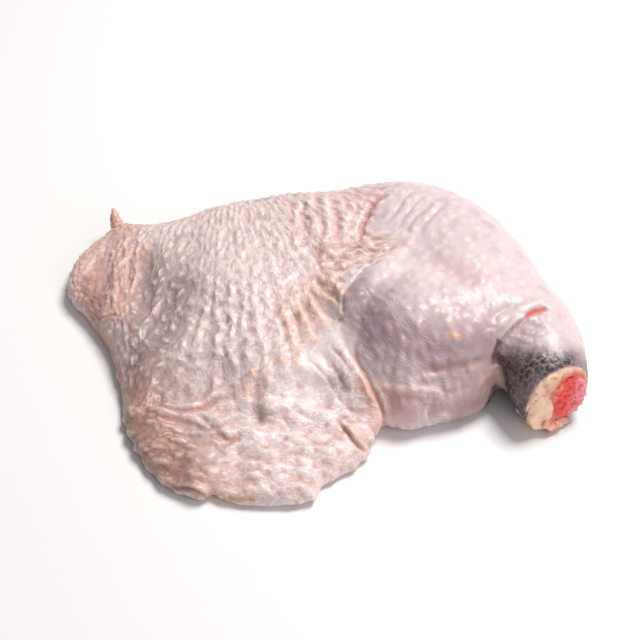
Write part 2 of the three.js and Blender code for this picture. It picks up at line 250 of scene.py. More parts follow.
def drawn(path):
    """A smooth line through the points of a path, as points about half a millimetre apart."""
    knots = np.array([path[0], *path, path[-1]], dtype=float)
    line = []
    for before, start, end, after in zip(knots, knots[1:], knots[2:], knots[3:]):
        pieces = max(2, int(np.hypot(*(end - start)) / 0.5))
        for t in np.arange(pieces) / pieces:
            line.append(0.5 * (2 * start + (end - before) * t
                               + (2 * before - 5 * start + 4 * end - after) * t ** 2
                               + (3 * start - before - 3 * end + after) * t ** 3))
    return np.array(line + [knots[-1]])


def beside(path, points=None):
    """How far each point lies to the left of a path (less than 0 on its right), and how far
    along the path, from 0 to 1."""
    points = flat if points is None else points
    line = drawn(path)
    way = np.gradient(line, axis=0)
    way /= np.hypot(way[:, 0], way[:, 1])[:, None]
    nearest = np.full(len(points), np.inf)
    index = np.zeros(len(points), dtype=int)
    for i, at in enumerate(line):
        away = ((points - at) ** 2).sum(1)
        closer = away < nearest
        nearest[closer] = away[closer]
        index[closer] = i
    offset = points - line[index]
    side = way[index, 0] * offset[:, 1] - way[index, 1] * offset[:, 0]
    return np.copysign(np.sqrt(nearest), side), index / (len(line) - 1)


ragged = 1 + 0.45 * cloudy(place, 3.5, 91) + 0.25 * cloudy(place, 1.5, 92)


def add_tints(where, **stains):
    """Colours the skin with each stain where it isn't stronger already."""
    for name, strength in stains.items():
        tints[name] = np.maximum(tints[name], strength * where)


def crease(path, width, depth, swell=0.4, **stains):
    """Presses a ragged crease into the skin, which swells a little on both sides of it. The
    stains tint its valley, as painted shade and as the skin's own colour.
    """
    off, along = beside(path)
    off *= ragged
    taper = np.clip(np.sin(np.pi * along), 0, 1) ** 0.5
    taper *= rising(6 * width, 4 * width, np.abs(off))
    valley = np.exp(-(off / width) ** 2) * taper
    shoulders = np.exp(-((np.abs(off) - 2 * width) / width) ** 2) * taper
    relief[:] += depth * (swell * shoulders - valley)
    add_tints(valley, **stains)


def ridge(path, width, height, **stains):
    """Raises a rounded fold along a path."""
    off, along = beside(path)
    fold = np.exp(-(off / width) ** 2) * np.clip(np.sin(np.pi * along), 0, 1) ** 0.5
    relief[:] += height * fold
    add_tints(fold, **stains)


def lap(path, height, reach, **stains):
    """Lets the skin on the left of a path lie over the skin on its right: it is thicker along
    the path, less so farther away, and there is a sharp valley beside it, which the stains tint
    as painted shade."""
    off, along = beside(path)
    taper = np.clip(np.sin(np.pi * along), 0, 1) ** 0.5
    relief[:] += height * taper * rising(-0.5, 0.7, off) * np.exp(-np.clip(off, 0, None) / reach)
    valley = taper * np.exp(-((off + 0.5) / 0.8) ** 2)
    relief[:] -= 0.5 * height * valley
    add_tints(valley, **stains)


def stain(path, width, **stains):
    """Colours the skin softly along a path, with a ragged edge."""
    off, _ = beside(path)
    spot = np.exp(-(off * ragged / width) ** 2)
    add_tints(spot, **stains)


# Parts of the skin. The thigh's skin ends in a fold that runs from the back of the knee to the
# hem, and the hock begins at a deep crease.
thigh_edge = [
    (30, 90), (27, 70), (24, 58), (19, 47), (17, 38), (26, 30), (26, 22), (20, 17), (13, 10),
    (9, 2), (8, -8), (11, -20), (17, -28), (23, -36), (26, -50),
]
hock_edge = [(60, -50), (66, -32), (65, -22), (69, -16), (76, -11), (86, -6), (98, 2), (112, 12)]
off_thigh_edge, _ = beside(thigh_edge)
off_hock_edge, _ = beside(hock_edge)
at_back = rising(45, 75, flat[:, 1])
edge_wander = 6 * at_back * cloudy(place, 14, 94)
on_thigh = rising(1, -1, (off_thigh_edge + edge_wander) / (1.8 + 12 * at_back))
on_hock = rising(0.5, -1.5, off_hock_edge)
on_drumstick = (1 - on_thigh) * (1 - on_hock)
on_tail = rising(-66, -74, flat[:, 0]) * rising(-4, 8, flat[:, 1])
on_hem = on_thigh * rising(-22, -38, flat[:, 1])

# Smooth pale skin between the feather bumps and the drumstick, and paler patches on the thigh,
# some of them painted light that lifts shaded hollows. Thin skin with no fat under it on the far
# left is darker and browner, partly its own colour and partly painted shade where the skin turns
# away from the lamp.
off_smooth, _ = beside([(8, -2), (5, -12), (0, -22), (-6, -30)])
smooth = np.exp(-(off_smooth / 9) ** 2) * on_thigh
tints["pale"] = 0.9 * smooth
stain([(-8, -32), (2, -38), (6, -46)], 9, pale=0.7)
stain([(-34, -8), (-30, -26)], 8, pale=0.4)
# Painted light: a paler patch that lifts the shaded hollow between the thigh's rolls and the belly.
stain([(3, 17), (8, 8), (9, -2)], 4, pale=0.7)
# Painted shade and thin skin: the far left of the thigh and hem, which turns away from the lamp, is darker
# and browner.
stain([(-66, 26), (-68, 8), (-70, -8), (-68, -24), (-62, -44), (-52, -62)], 15, thin=0.8)
stain([(-68, -14), (-67, -30), (-61, -46), (-52, -60)], 15, thin=1.0)
stain([(-68, -36), (-61, -48), (-51, -62)], 14, brown=0.55)
stain([(-55, 18), (-56, 5), (-60, -9)], 8, thin=0.95, mauve=0.4)

# Feather bumps of the thigh. They stand in rows that fan out from a point behind the thigh, so
# they are finer at the back than at the hem, and each is longer down its row than across it.
fan_root = (-37, 100)
fan_spacing = 0.055
row_spacing = 7.0
from_root = flat - np.array(fan_root)
across_rows = np.arctan2(from_root[:, 0], -from_root[:, 1]) / fan_spacing
down_rows = np.hypot(from_root[:, 0], from_root[:, 1]) / row_spacing


def grains(across, down, half_across, half_down, jitter, seed, least=0.45):
    """Rounded grains, one in each cell of size 1, where every other column is half a cell lower.
    The height of the tallest at each point; single grains are from least to 1 high."""
    table_size = 128
    draws = np.random.default_rng(seed).random((table_size, table_size, 3))
    height = np.zeros(len(across))
    for step_across in (-1, 0, 1):
        column = np.floor(across).astype(int) + step_across
        stagger = 0.5 * (column % 2)
        for step_down in (-1, 0, 1):
            row = np.floor(down - stagger).astype(int) + step_down
            draw = draws[column % table_size, row % table_size]
            gap_across = (across - column - 0.5 - jitter * (draw[:, 0] - 0.5)) / half_across
            gap_down = (down - row - stagger - 0.5 - jitter * (draw[:, 1] - 0.5)) / half_down
            tallness = least + (1 - least) * draw[:, 2]
            grain = tallness * np.exp(-1.5 * (gap_across ** 2 + gap_down ** 2))
            height = np.maximum(height, grain)
    return height


def rough(across, down, seed):
    """Smooth noise from -1 to 1 in a layout of the skin's own."""
    return np.array([noise.noise((a, d, 3.7 * seed)) for a, d in zip(across, down)])


across_rows += 0.25 * rough(across_rows * 0.7, down_rows * 0.7, 3)
down_rows += 0.25 * rough(across_rows * 0.7, down_rows * 0.7, 4)
feather_bump = grains(across_rows, down_rows, 0.36, 0.42, 0.4, 11)
feather_field = on_thigh * (1 - 0.85 * on_hem) * (1 - 0.5 * on_tail) * (1 - 0.8 * smooth)
feather_field *= (1 + 0.5 * cloudy(place, 14, 6)) * (1 - 0.4 * rising(-36, -60, flat[:, 0]))
relief += 0.95 * feather_bump * feather_field

# Between and over the bumps the thigh's skin is finely wrinkled, mostly down the rows.
ridged = 1 - 2.2 * np.abs(rough(across_rows * 1.7, down_rows * 1.2, 7))
ridged += 0.6 - 1.3 * np.abs(rough(across_rows * 3.1, down_rows * 2.4, 8))
relief += 0.34 * (ridged - 1.0) * on_thigh * (1 - 0.8 * smooth) * (1 - 0.7 * on_hem)

# Towards the hem the bumps of one column run together into a ridge with beads on it. Yellow fat
# shows through the bumps nearest the knee.
beaded = on_thigh * rising(12, -6, flat[:, 1]) * rising(-38, -26, flat[:, 1])
beaded *= rising(-58, -46, flat[:, 0]) * rising(4, -8, flat[:, 0])
column_crest = np.cos(np.pi * (across_rows - 0.5)) ** 2
relief += 0.3 * column_crest * beaded
off_fatty, _ = beside([(-26, -27), (-22, -23), (-15, -21), (-6, -15), (-2, -7), (0, 3), (-2, 12)])
fatty = np.exp(-(off_fatty / 8) ** 2) * rising(0.15, 0.7, feather_bump)
add_tints(fatty, fat=0.65)
bead = grains(across_rows, down_rows, 0.2, 0.16, 0.4, 11)
bead *= feather_field * rising(26, 8, flat[:, 1])
relief += 0.5 * bead
add_tints(bead, blush=0.3)
stain([(-57, -18), (-57, -17)], 1.3, brown=0.7)

# Folds behind and over the knee, where the thigh's skin bunches up: long rounded folds that run
# down from the back edge, short wrinkles across the bend, and slanted rolls beside the drumstick.
for path, depth in (
    ([(-7, 62), (-6, 51), (-6, 41), (-6, 31)], 0.4),
    ([(-1, 64), (0, 51), (2, 41), (1, 34), (0, 26), (0, 21)], 0.7),
    ([(5, 64), (6, 52), (7, 44), (6, 36), (3, 29)], 0.6),
    ([(9, 65), (11, 53), (12, 44), (12, 38)], 0.5),
    ([(-13, 62), (-11, 50), (-11, 40), (-10, 30)], 0.3),
    ([(15, 66), (15, 56), (15, 47)], 0.4),
):
    crease(path, 1.6, depth, blush=0.3)
for path, depth in (
    ([(2, 22), (6, 25), (11, 24), (15, 24)], 0.4),
    ([(0, 20), (5, 19), (10, 18), (13, 18)], 0.5),
    ([(7, 31), (12, 31), (17, 29), (22, 26), (26, 25)], 0.4),
    ([(16, 39), (21, 34), (25, 32), (30, 32)], 0.4),
):
    crease(path, 0.9, depth, brown=0.25, fat=0.2)
off_bend, along_bend = beside([(-2, 24), (6, 27), (14, 28), (21, 29), (30, 31)])
bend = np.exp(-(off_bend / 9) ** 4) * rising(0.0, 0.1, along_bend) * rising(1.0, 0.85, along_bend)
bend_wrinkle = 1 - 2.2 * np.abs(rough(along_bend * 5, off_bend / 2.6, 9))
relief += 0.6 * (bend_wrinkle - 0.6) * bend
# Painted shade: brown in the floors of the bend's wrinkles.
add_tints(bend * rising(0.7, 0.2, bend_wrinkle), brown=0.3)
add_tints(bend, fat=0.15)
for path in (
    [(-15, 5), (-13, -2), (-11, -12), (-9, -18)],
    [(-11, 8), (-8, 0), (-5, -6), (-2, -13)],
    [(-8, 12), (-3, 5), (0, -3), (3, -10)],
    [(-4, 15), (-1, 9), (4, 4), (8, -3)],
    [(-1, 18), (4, 12), (9, 6), (11, 0)],
):
    ridge(path, 1.5, 0.9, fat=0.55)
for path in (
    [(-13, 6), (-9, -3), (-6, -15)],
    [(-10, 10), (-5, 1), (-1, -11)],
    [(-6, 14), (-1, 5), (5, -6)],
    [(-2, 17), (3, 8), (9, 0)],
):
    crease(path, 0.9, 0.4, swell=0.1, brown=0.35)
crease([(-1, 20), (3, 16), (8, 12), (12, 9)], 1.3, 0.5, brown=0.3, fat=0.3)
ridge([(2, 18), (7, 10), (10, 2), (10, -6)], 4.5, 1.5)
lap([(9, -6), (10, 3), (14, 11), (19, 17), (26, 21)], 0.8, 3, mauve=0.35)
crease([(26, 58), (24, 55), (21, 52), (19, 47), (16, 41), (16, 35)], 1.1, 0.9,
       blush=0.6, mauve=0.4, brown=0.3)
off_red, _ = beside([(25, 60), (22, 55), (19, 48)])
red_patch = np.exp(-(off_red * ragged / 3.6) ** 2) * rising(-0.3, 0.4, cloudy(place, 2.2, 93))
add_tints(red_patch, mauve=0.6, blush=0.7)
stain([(31, 30), (32, 27)], 1.6, blush=0.4, mauve=0.2)

# Drumstick: taut skin over the muscle, softly dimpled, with fine streaks bent round the belly of
# the muscle, a hollow over the shin and a groove along the tendon.
belly_middle = np.array((45, -4))
from_belly = flat - belly_middle
belly_radius = np.hypot(from_belly[:, 0], from_belly[:, 1])
round_belly = np.arctan2(from_belly[:, 1], -from_belly[:, 0]) * belly_radius
down_slant = np.array((0.55, -0.83))
across_slant = np.array((0.83, 0.55))
streak = grains(flat @ across_slant / 3.1, flat @ down_slant / 5.6, 0.4, 0.45, 0.7, 23)
on_belly_side = on_drumstick * rising(10, 18, belly_radius)
on_belly_side *= rising(8, -2, flat[:, 1]) * rising(60, 48, flat[:, 0])
relief += 0.5 * streak * on_belly_side

dimpled = grains(flat[:, 0] / 4.4, flat[:, 1] / 5.0, 0.5, 0.5, 0.9, 5)
low_band = rising(-6, -16, flat[:, 1]) * rising(-36, -28, flat[:, 1]) * rising(20, 30, flat[:, 0])
relief += dimpled * on_drumstick * (0.55 + 0.3 * low_band)
add_tints(dimpled * on_drumstick * low_band, blush=0.25)
for path in (
    [(42, 54), (38, 49), (34, 43), (30, 36)],
    [(46, 51), (42, 46), (38, 41), (34, 34)],
    [(38, 57), (34, 52), (30, 46), (26, 40)],
    [(50, 49), (46, 44), (42, 38), (39, 32)],
):
    crease(path, 0.9, 0.3, mauve=0.3)
crease([(43, 21), (47, 15), (52, 9), (57, 5), (64, 3)], 5.0, 0.35, swell=0.1, mauve=0.2, blush=0.25)
crease([(44, -7), (51, -7), (55, -9), (61, -6), (65, -1)], 4.0, 0.4, swell=0.1, mauve=0.45)
# Painted shade: mauve between the raised streaks and in a broad belt along the underside of the belly, which
# faces away from the lamp.
shaded_belt = [(15, 2), (18, -10), (26, -19), (38, -24), (50, -25), (61, -21)]
off_belt, _ = beside(shaded_belt)
between_streaks = on_belly_side * rising(0.5, 0.1, streak)
add_tints(between_streaks * rising(13, 3, np.abs(off_belt)), mauve=0.85)
belt = np.exp(-(off_belt * ragged / 10) ** 2) * on_drumstick
add_tints(belt, mauve=0.85)
# Painted highlight: a paler patch on the top of the belly.
stain([(26, 20), (34, 15), (44, 9)], 8, pale=0.5)
stain([(48.5, -20), (50, -20)], 1.4, fat=0.9)
crease([(34, -32), (41, -30), (47, -29), (55, -28), (61, -24)], 1.0, 0.8, mauve=0.6, brown=0.3)
ridge([(23, -33), (29, -35), (34, -36), (41, -35), (47, -36), (53, -35)], 0.8, 0.8, pale=0.5, fat=0.2)
crease([(24, -35), (29, -37), (34, -38), (41, -37), (47, -38), (52, -37)], 0.9, 0.4, swell=0, brown=0.3)
stain([(25, -36), (30, -38), (34, -40)], 3, blush=0.4, mauve=0.4)
crease([(40, -39), (44, -38)], 1.5, 0.6, brown=0.5)
# Painted shade on the low right of the drumstick, beside the hock.
stain([(66, -27), (65, -30), (60, -35), (54, -39)], 6, brown=0.4, mauve=0.7)

# Hem: loose skin without meat under it, crumpled in waves, with a row of small folds along its
# edge, and sunken pores where feathers were pulled.
across_waves = np.array((0.95, -0.31))
down_waves = np.array((0.31, 0.95))
crumple = 1 - 2 * np.abs(cloudy(place, 5.0, 31, stretch=(2.2, 1, 1)))
lump = grains(flat @ across_waves / 9.5, flat @ down_waves / 6.5, 0.5, 0.45, 0.9, 9)
relief += (0.45 * crumple + 1.6 * lump) * on_hem
for path, width, depth, stains in (
    ([(-67, -35), (-59, -32), (-52, -36), (-45, -36), (-39, -34), (-31, -33)], 1.2, 0.9, {"brown": 0.4}),
    ([(-62, -42), (-55, -40), (-47, -42), (-42, -45), (-34, -45)], 1.2, 0.8, {"brown": 0.4}),
    ([(-58, -50), (-51, -47), (-45, -49)], 1.2, 0.7, {"brown": 0.4}),
    ([(-24, -31), (-23, -38), (-21, -45)], 2.4, 0.6, {"mauve": 0.35}),
    ([(-38, -46), (-33, -51), (-28, -48)], 1.3, 0.9, {"mauve": 0.3, "brown": 0.2}),
    ([(-44, -67), (-40, -70), (-38, -73), (-34, -76), (-22, -76)], 1.6, 0.7, {"fat": 0.7, "brown": 0.2}),
    ([(10, -35), (11, -38), (16, -40), (21, -40)], 1.8, 0.6, {"mauve": 0.4}),
    ([(-5, -19), (2, -28), (8, -36)], 0.8, 0.3, {"mauve": 0.2}),
    ([(0, -19), (7, -28), (12, -34)], 0.8, 0.35, {"mauve": 0.2}),
    ([(3, -18), (11, -26), (15, -32)], 0.8, 0.35, {"mauve": 0.2}),
):
    crease(path, width, depth, **stains)
lap([(-56, -67), (-52, -70), (-49, -70), (-45, -71), (-41, -73), (-36, -75)], 1.3, 5, brown=0.9)
stain([(-42, -64), (-38, -68), (-29, -71), (-22, -73)], 2.5, fat=0.35)
lap([(8, -42), (9, -46), (12, -50), (15, -52), (18, -53)], 1.5, 5, fat=0.7, brown=0.4)
stain([(11, -47), (14, -50), (19, -52)], 2.0, fat=0.4, blush=0.3)
lap([(25, -44), (23, -40), (21, -36), (18, -32), (15, -27), (12, -22)], 1.5, 4, blush=0.4, brown=0.3)
stain([(16, -32), (19, -35), (20, -38), (21, -41)], 2.0, fat=0.45, blush=0.35)
ridge([(24, -35), (24, -39), (27, -42)], 1.8, 0.9, blush=0.4)
pit = grains(flat[:, 0] / 5.2, flat[:, 1] / 5.8, 0.26, 0.22, 0.6, 12)
on_left = rising(-14, -34, flat[:, 0])
relief -= 0.45 * pit * on_hem
add_tints(pit * on_hem * (1 - on_left), blush=0.5)
plucked = on_left * on_thigh * rising(-4, -34, flat[:, 1])
add_tints(rising(0.5, 0.75, pit) * plucked, brown=0.5)

# Tail flap: a thin tag of pinker skin with a pointed nub, gathered in pleats where it is tucked.
tail_mottle = grains(flat[:, 0] / 3.8, flat[:, 1] / 3.6, 0.5, 0.5, 0.8, 15)
relief += 0.8 * tail_mottle * on_tail
off_pleats, _ = beside([(-78, 40), (-81, 28), (-80, 16), (-78, 2)])
pleated = np.exp(-(off_pleats / 11) ** 2) * on_thigh
pleat = 1 - 2 * np.abs(cloudy(place, 2.3, 16, stretch=(1, 3.5, 3.5)))
relief += 0.55 * pleat * pleated
# Painted shade in the folds between the pleats.
add_tints(pleated * rising(0.5, 0.0, pleat), brown=0.3)
crease([(-70.5, 40), (-71, 32), (-72, 25), (-74, 14)], 1.6, 0.4, swell=0.2, mauve=0.25)
ridge([(-73, 36), (-73.5, 28), (-74.5, 21), (-76.5, 12)], 1.2, 0.5, pale=0.4)
crease([(-76, 27), (-77, 21), (-78, 16), (-79, 11)], 0.8, 0.6, swell=0.1, fat=0.7, brown=0.5)
crease([(-78, 42), (-79, 34), (-80, 26)], 1.4, 0.4, fat=0.3)
for path in (
    [(-92, 18), (-92.5, 12)],
    [(-89.5, 19), (-90, 12)],
    [(-87, 20), (-86.5, 12)],
    [(-84, 20), (-83.5, 12)],
):
    crease(path, 1.0, 0.35, brown=0.25)
lap([(-95, 12), (-92, 9), (-88, 8), (-84, 9), (-80, 8)], 0.8, 4, fat=0.8, brown=0.5)
stain([(-91, 28), (-91, 20), (-90, 15)], 5, brown=0.55, thin=0.9)
add_tints(on_tail * rising(-0.3, 0.4, cloudy(place, 5, 17)), fat=0.35)
stain([(-84, 38), (-82, 30), (-84, 20)], 3, brown=0.4)
crease([(-56, 16), (-62, 7), (-64, 0), (-67, -7)], 2.2, 0.6, swell=0.1, mauve=0.8)
stain([(-83, 58), (-83, 70)], 5, fat=0.9, blush=0.35)
stain([(-70, 38), (-71, 26), (-72, 15), (-75, -1)], 4, mauve=0.25)
stain([(-90, 52), (-97, 42), (-99, 30)], 3, blush=0.6)
stain([(-97, 8), (-95, 0), (-92, -6), (-88, -13), (-84, -30)], 3, blush=0.7, brown=0.5)
add_tints((0.6 + tail_mottle) * on_tail, blush=0.25)

# Hock: thicker skin with dark scales round its lower half, like the start of the foot. The
# drumstick's skin laps over its upper end in a thick fold, which opens to red tissue.
lap([(66, -30), (65, -24), (65, -21), (66, -19), (69, -16), (72, -13), (76, -11), (80, -8.5), (85, -6)],
    1.1, 3, brown=0.3, mauve=0.5)
ridge([(62, -20), (64, -16), (68, -12), (73, -8.5), (78, -6), (81, -5)], 2.4, 0.8)
crease([(59, -21), (61, -15), (65, -10), (70, -6), (75, -3)], 1.8, 0.5, swell=0.2, mauve=0.3)
crease([(75.5, -11), (79, -9), (82, -7.5), (85, -6.5)], 1.4, 0.9, swell=0.2)
stain([(77, -10), (80, -8.8), (83.5, -7.4)], 1.1, raw=0.8, brown=0.3)
for path in (
    [(72, -15), (75, -17), (79, -20)],
    [(75, -13), (79, -15), (84, -18)],
    [(69, -18), (73, -20), (77, -23)],
):
    crease(path, 1.0, 0.25, mauve=0.45)
hock_bump = grains(flat[:, 0] / 2.2, flat[:, 1] / 2.2, 0.5, 0.5, 0.8, 49)
on_hock_top = on_hock * rising(88, 80, flat[:, 0]) * rising(-30, -20, flat[:, 1])
relief += 0.3 * hock_bump * on_hock_top
# Painted shade: mauve between the hock's bumps.
add_tints(on_hock_top * rising(0.5, 0.1, hock_bump), mauve=0.4)
# Painted shadow: a deep crease, stained nearly black, in the gap where the hock comes out from under the
# drumstick.
crease([(65.5, -26), (65, -22), (66.5, -18)], 1.1, 1.6, swell=0, scale=0.9)
past_cut = (place - cut_at) @ cut_facing
across_cut = (place - cut_at) @ cut_across
up_cut = (place - cut_at) @ upward
scale_edge = [(58, -17), (67, -21), (72, -23), (76, -26), (82, -28), (87, -28), (94, -26), (104, -22)]
off_scales, _ = beside(scale_edge)
scaly = on_hock * rising(5.5, -2.5, off_scales + 1.8 * cloudy(place, 3, 41))
hock_radius = 14
round_hock = np.arctan2(across_cut, up_cut) * hock_radius + 0.5 * cloudy(place, 5, 46)


def plates(across, down, jitter, seed):
    """Plates packed side by side: how far each point is from the border of its plate, where a
    plate is about 1 across. Every other column is half a plate lower."""
    table_size = 64
    draws = np.random.default_rng(seed).random((table_size, table_size, 2))
    nearest = np.full(len(across), 9.0)
    second = nearest
    for step_across in (-1, 0, 1):
        column = np.floor(across).astype(int) + step_across
        stagger = 0.5 * (column % 2)
        for step_down in (-1, 0, 1):
            row = np.floor(down - stagger).astype(int) + step_down
            draw = draws[column % table_size, row % table_size]
            gap_across = across - column - 0.5 - jitter * (draw[:, 0] - 0.5)
            gap_down = down - row - stagger - 0.5 - jitter * (draw[:, 1] - 0.5)
            away = np.hypot(gap_across, gap_down)
            second = np.minimum(second, np.maximum(nearest, away))
            nearest = np.minimum(nearest, away)
    return second - nearest


scale_crown = rising(0.02, 0.2, plates(round_hock / 3.1, past_cut / 2.9, 0.5, 42))
relief += 0.35 * scale_crown * scaly
darkness = 0.55 + 0.45 * rising(-0.6, 0.5, cloudy(place, 6, 42) - 0.03 * across_cut)
add_tints(scaly * (1 + scale_crown) * darkness, scale=0.5)
speck = rising(0.45, 0.7, grains(place[:, 0] / 1.9, place[:, 2] / 1.9, 0.22, 0.22, 0.8, 43))
add_tints(speck * on_hock * rising(9, 2, off_scales), scale=0.5)
add_tints(on_hock * rising(8, 1, off_scales), mauve=0.55)
in_cut = rising(-1.6, -0.4, past_cut) * rising(0.55, 0.85, facing @ cut_facing)
off_marrow = np.hypot((across_cut - 5.7) / 7.2, (up_cut - 0.7) / 8.8) + 0.12 * cloudy(place, 2, 44)
for values in tints.values():
    values *= 1 - in_cut
tints["cream"] = in_cut
streaky = rising(0.0, 0.5, cloudy(place, 2.6, 45) + 0.5 * cloudy(place, 1.2, 47))
add_tints(in_cut * streaky, raw=0.5)
add_tints(in_cut * rising(1.6, 1.05, off_marrow), raw=0.85)
relief += in_cut * (0.6 * cloudy(place, 2.8, 48) + 0.3 * streaky)

# The relief fades out towards the floor. Valleys of the skin get painted shade, darker and
# browner than their surroundings, and crests a painted highlight, paler. Faint mauve mottling
# lies over the whole.
relief_blur_rounds = 24
relief += (0.10 * cloudy(place, 1.8, 51) + 0.12 * cloudy(place, 3.5, 52)) * (1 - 0.6 * on_drumstick)
free = rising(0.3, 3.0, place[:, 2])
relief *= free
place += facing * relief[:, None]
place[:, 2] = np.clip(place[:, 2], 0, None)
move_points(skin, place)
height_over_surroundings = relief - blurred(relief, relief_blur_rounds)
tints["valley"] = rising(0.03, -0.4, height_over_surroundings)
tints["crest"] = rising(0.03, 0.4, height_over_surroundings)
tints["taut"] = 1 - on_thigh
mottled = rising(-0.1, 0.7, cloudy(place, 6, 53)) * (0.5 + 0.5 * rising(-0.4, 0.4, cloudy(place, 2, 54)))
add_tints(mottled * (1 - 0.7 * smooth), mauve=0.38)
# Painted shade: warm pink and orange in the hem's valleys.
hem_valley = tints["valley"] * on_hem * rising(-0.5, 0.5, cloudy(place, 9, 55))
add_tints(hem_valley, blush=0.6, fat=0.35)

# The skin's finest wrinkles, about a millimetre apart, are left to its material. They follow the
# feather rows and the curve of the belly of the drumstick, and run freely elsewhere.
wrinkle_lay = np.zeros((count, 3))
wrinkle_lay[:, 0] = np.where(on_drumstick > 0.5, belly_radius / 0.9, across_rows * 3.2)
wrinkle_lay[:, 1] = np.where(on_drumstick > 0.5, round_belly / 6, down_rows * 2.2)
lay_attribute = skin.data.attributes.new("wrinkle_lay", "FLOAT_VECTOR", "POINT")
lay_attribute.data.foreach_set("vector", wrinkle_lay.astype(np.float32).ravel())
tints["wrinkly"] = on_thigh * (1 - 0.5 * smooth) + 0.25 * on_drumstick + 0.8 * on_belly_side + 0.6 * on_hock
tints["wrinkly"] = np.clip(tints["wrinkly"], 0, 1)
tints["laid"] = on_thigh * (1 - on_hem) * (1 - 0.7 * on_tail) * (1 - 0.5 * smooth) + 0.9 * on_belly_side
for name, values in tints.items():
    keep_value(skin, name, values)

# The flat underside and other even patches need few faces.
thinning = skin.modifiers.new("thinning", "DECIMATE")
thinning.ratio = 0.585
applied(skin)
skin.data.shade_smooth()

# Raw chicken skin: a thin moist film of skin and fat over pink meat. Light sinks in and comes
# back warm, painted shade makes valleys and wrinkle lines brownish mauve, and the surface has broad
# soft glints.
raw_skin, skin_shader = new_material("raw_chicken_skin")
coordinates = add_node(raw_skin, "ShaderNodeTexCoord", {})
mottle = add_node(raw_skin, "ShaderNodeTexNoise",
                  {"Vector": coordinates.outputs["Object"], "Scale": 260, "Detail": 4})
skin_colour = add_node(raw_skin, "ShaderNodeMix", data_type="RGBA", inputs={
    0: mottle.outputs["Fac"], 6: linear("#EAD2D0"), 7: linear("#F6E6E4")}).outputs[2]
for name, hex_colour in (
    ("taut", "#E1CDD0"),
    ("pale", "#F9ECEB"),
    ("thin", "#847370"),
    ("valley", "#DCBDBA"),
    ("crest", "#F8E6DE"),
    ("mauve", "#98808A"),
    ("blush", "#E09C94"),
    ("fat", "#F0BE98"),
    ("brown", "#AA7354"),
    ("scale", "#352D2E"),
    ("cream", "#F8D3B2"),
    ("raw", "#D9502F"),
):
    mask = add_node(raw_skin, "ShaderNodeAttribute", {}, attribute_name=name)
    skin_colour = add_node(raw_skin, "ShaderNodeMix", data_type="RGBA", inputs={
        0: mask.outputs["Fac"], 6: skin_colour, 7: linear(hex_colour)}).outputs[2]
lay = add_node(raw_skin, "ShaderNodeAttribute", {}, attribute_name="wrinkle_lay")
laid = add_node(raw_skin, "ShaderNodeAttribute", {}, attribute_name="laid")
laid_wrinkle = add_node(raw_skin, "ShaderNodeTexNoise",
                        {"Vector": lay.outputs["Vector"], "Scale": 1, "Detail": 2})
stretched = add_node(raw_skin, "ShaderNodeMapping",
                     {"Vector": coordinates.outputs["Object"], "Scale": (380, 640, 640)})
free_wrinkle = add_node(raw_skin, "ShaderNodeTexNoise",
                        {"Vector": stretched.outputs["Vector"], "Scale": 1, "Detail": 2})
wrinkle = add_node(raw_skin, "ShaderNodeMix", {
    0: laid.outputs["Fac"], 2: free_wrinkle.outputs["Fac"], 3: laid_wrinkle.outputs["Fac"]})
from_line = add_node(raw_skin, "ShaderNodeMath", {0: wrinkle.outputs[0], 1: 0.5}, operation="SUBTRACT")
wrinkle_height = add_node(raw_skin, "ShaderNodeMath", {0: from_line.outputs[0]}, operation="ABSOLUTE")
wrinkly = add_node(raw_skin, "ShaderNodeAttribute", {}, attribute_name="wrinkly")
height_here = add_node(raw_skin, "ShaderNodeMath", operation="MULTIPLY", inputs={
    0: wrinkle_height.outputs[0], 1: wrinkly.outputs["Fac"]})
# Painted shade: the floors of the fine wrinkles are mixed towards a darker mauve brown.
in_wrinkle = add_node(raw_skin, "ShaderNodeMapRange", {
    "Value": wrinkle_height.outputs[0], "From Min": 0.06, "From Max": 0.0, "To Min": 0.0, "To Max": 0.5})
colour_here = add_node(raw_skin, "ShaderNodeMath", operation="MULTIPLY", inputs={
    0: in_wrinkle.outputs[0], 1: wrinkly.outputs["Fac"]})
skin_colour = add_node(raw_skin, "ShaderNodeMix", data_type="RGBA", inputs={
    0: colour_here.outputs[0], 6: skin_colour, 7: linear("#C39C9A")}).outputs[2]
raw_skin.node_tree.links.new(skin_colour, skin_shader.inputs["Base Color"])
wrinkle_bump = add_node(raw_skin, "ShaderNodeBump",
                        {"Height": height_here.outputs[0], "Strength": 0.5, "Distance": 0.0012})
fine_grain = add_node(raw_skin, "ShaderNodeTexNoise",
                      {"Vector": coordinates.outputs["Object"], "Scale": 900, "Detail": 3})
grain_bump = add_node(raw_skin, "ShaderNodeBump", {
    "Height": fine_grain.outputs["Fac"], "Strength": 0.4, "Distance": 0.0003,
    "Normal": wrinkle_bump.outputs["Normal"]})
raw_skin.node_tree.links.new(grain_bump.outputs["Normal"], skin_shader.inputs["Normal"])
wetness = add_node(raw_skin, "ShaderNodeMapRange", {
    "Value": mottle.outputs["Fac"], "From Min": 0.3, "From Max": 0.7, "To Min": 0.4, "To Max": 0.55})
raw_skin.node_tree.links.new(wetness.outputs[0], skin_shader.inputs["Roughness"])
skin_shader.inputs["IOR"].default_value = 1.4
skin_shader.inputs["Subsurface Weight"].default_value = 0.2
skin_shader.inputs["Subsurface Radius"].default_value = (1.0, 0.45, 0.3)
skin_shader.inputs["Subsurface Scale"].default_value = 0.003
skin_shader.inputs["Coat Weight"].default_value = 0.25
skin_shader.inputs["Coat Roughness"].default_value = 0.2
skin.data.materials.clear()
skin.data.materials.append(raw_skin)
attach(skin, "root")
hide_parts("leg")

# Shin bone: the end of the bone in the cut hock. Its outer ring is thin and pale, and the middle
# is spongy bone full of wet red marrow, sawn through and a little torn.
rod_cell = 0.0004


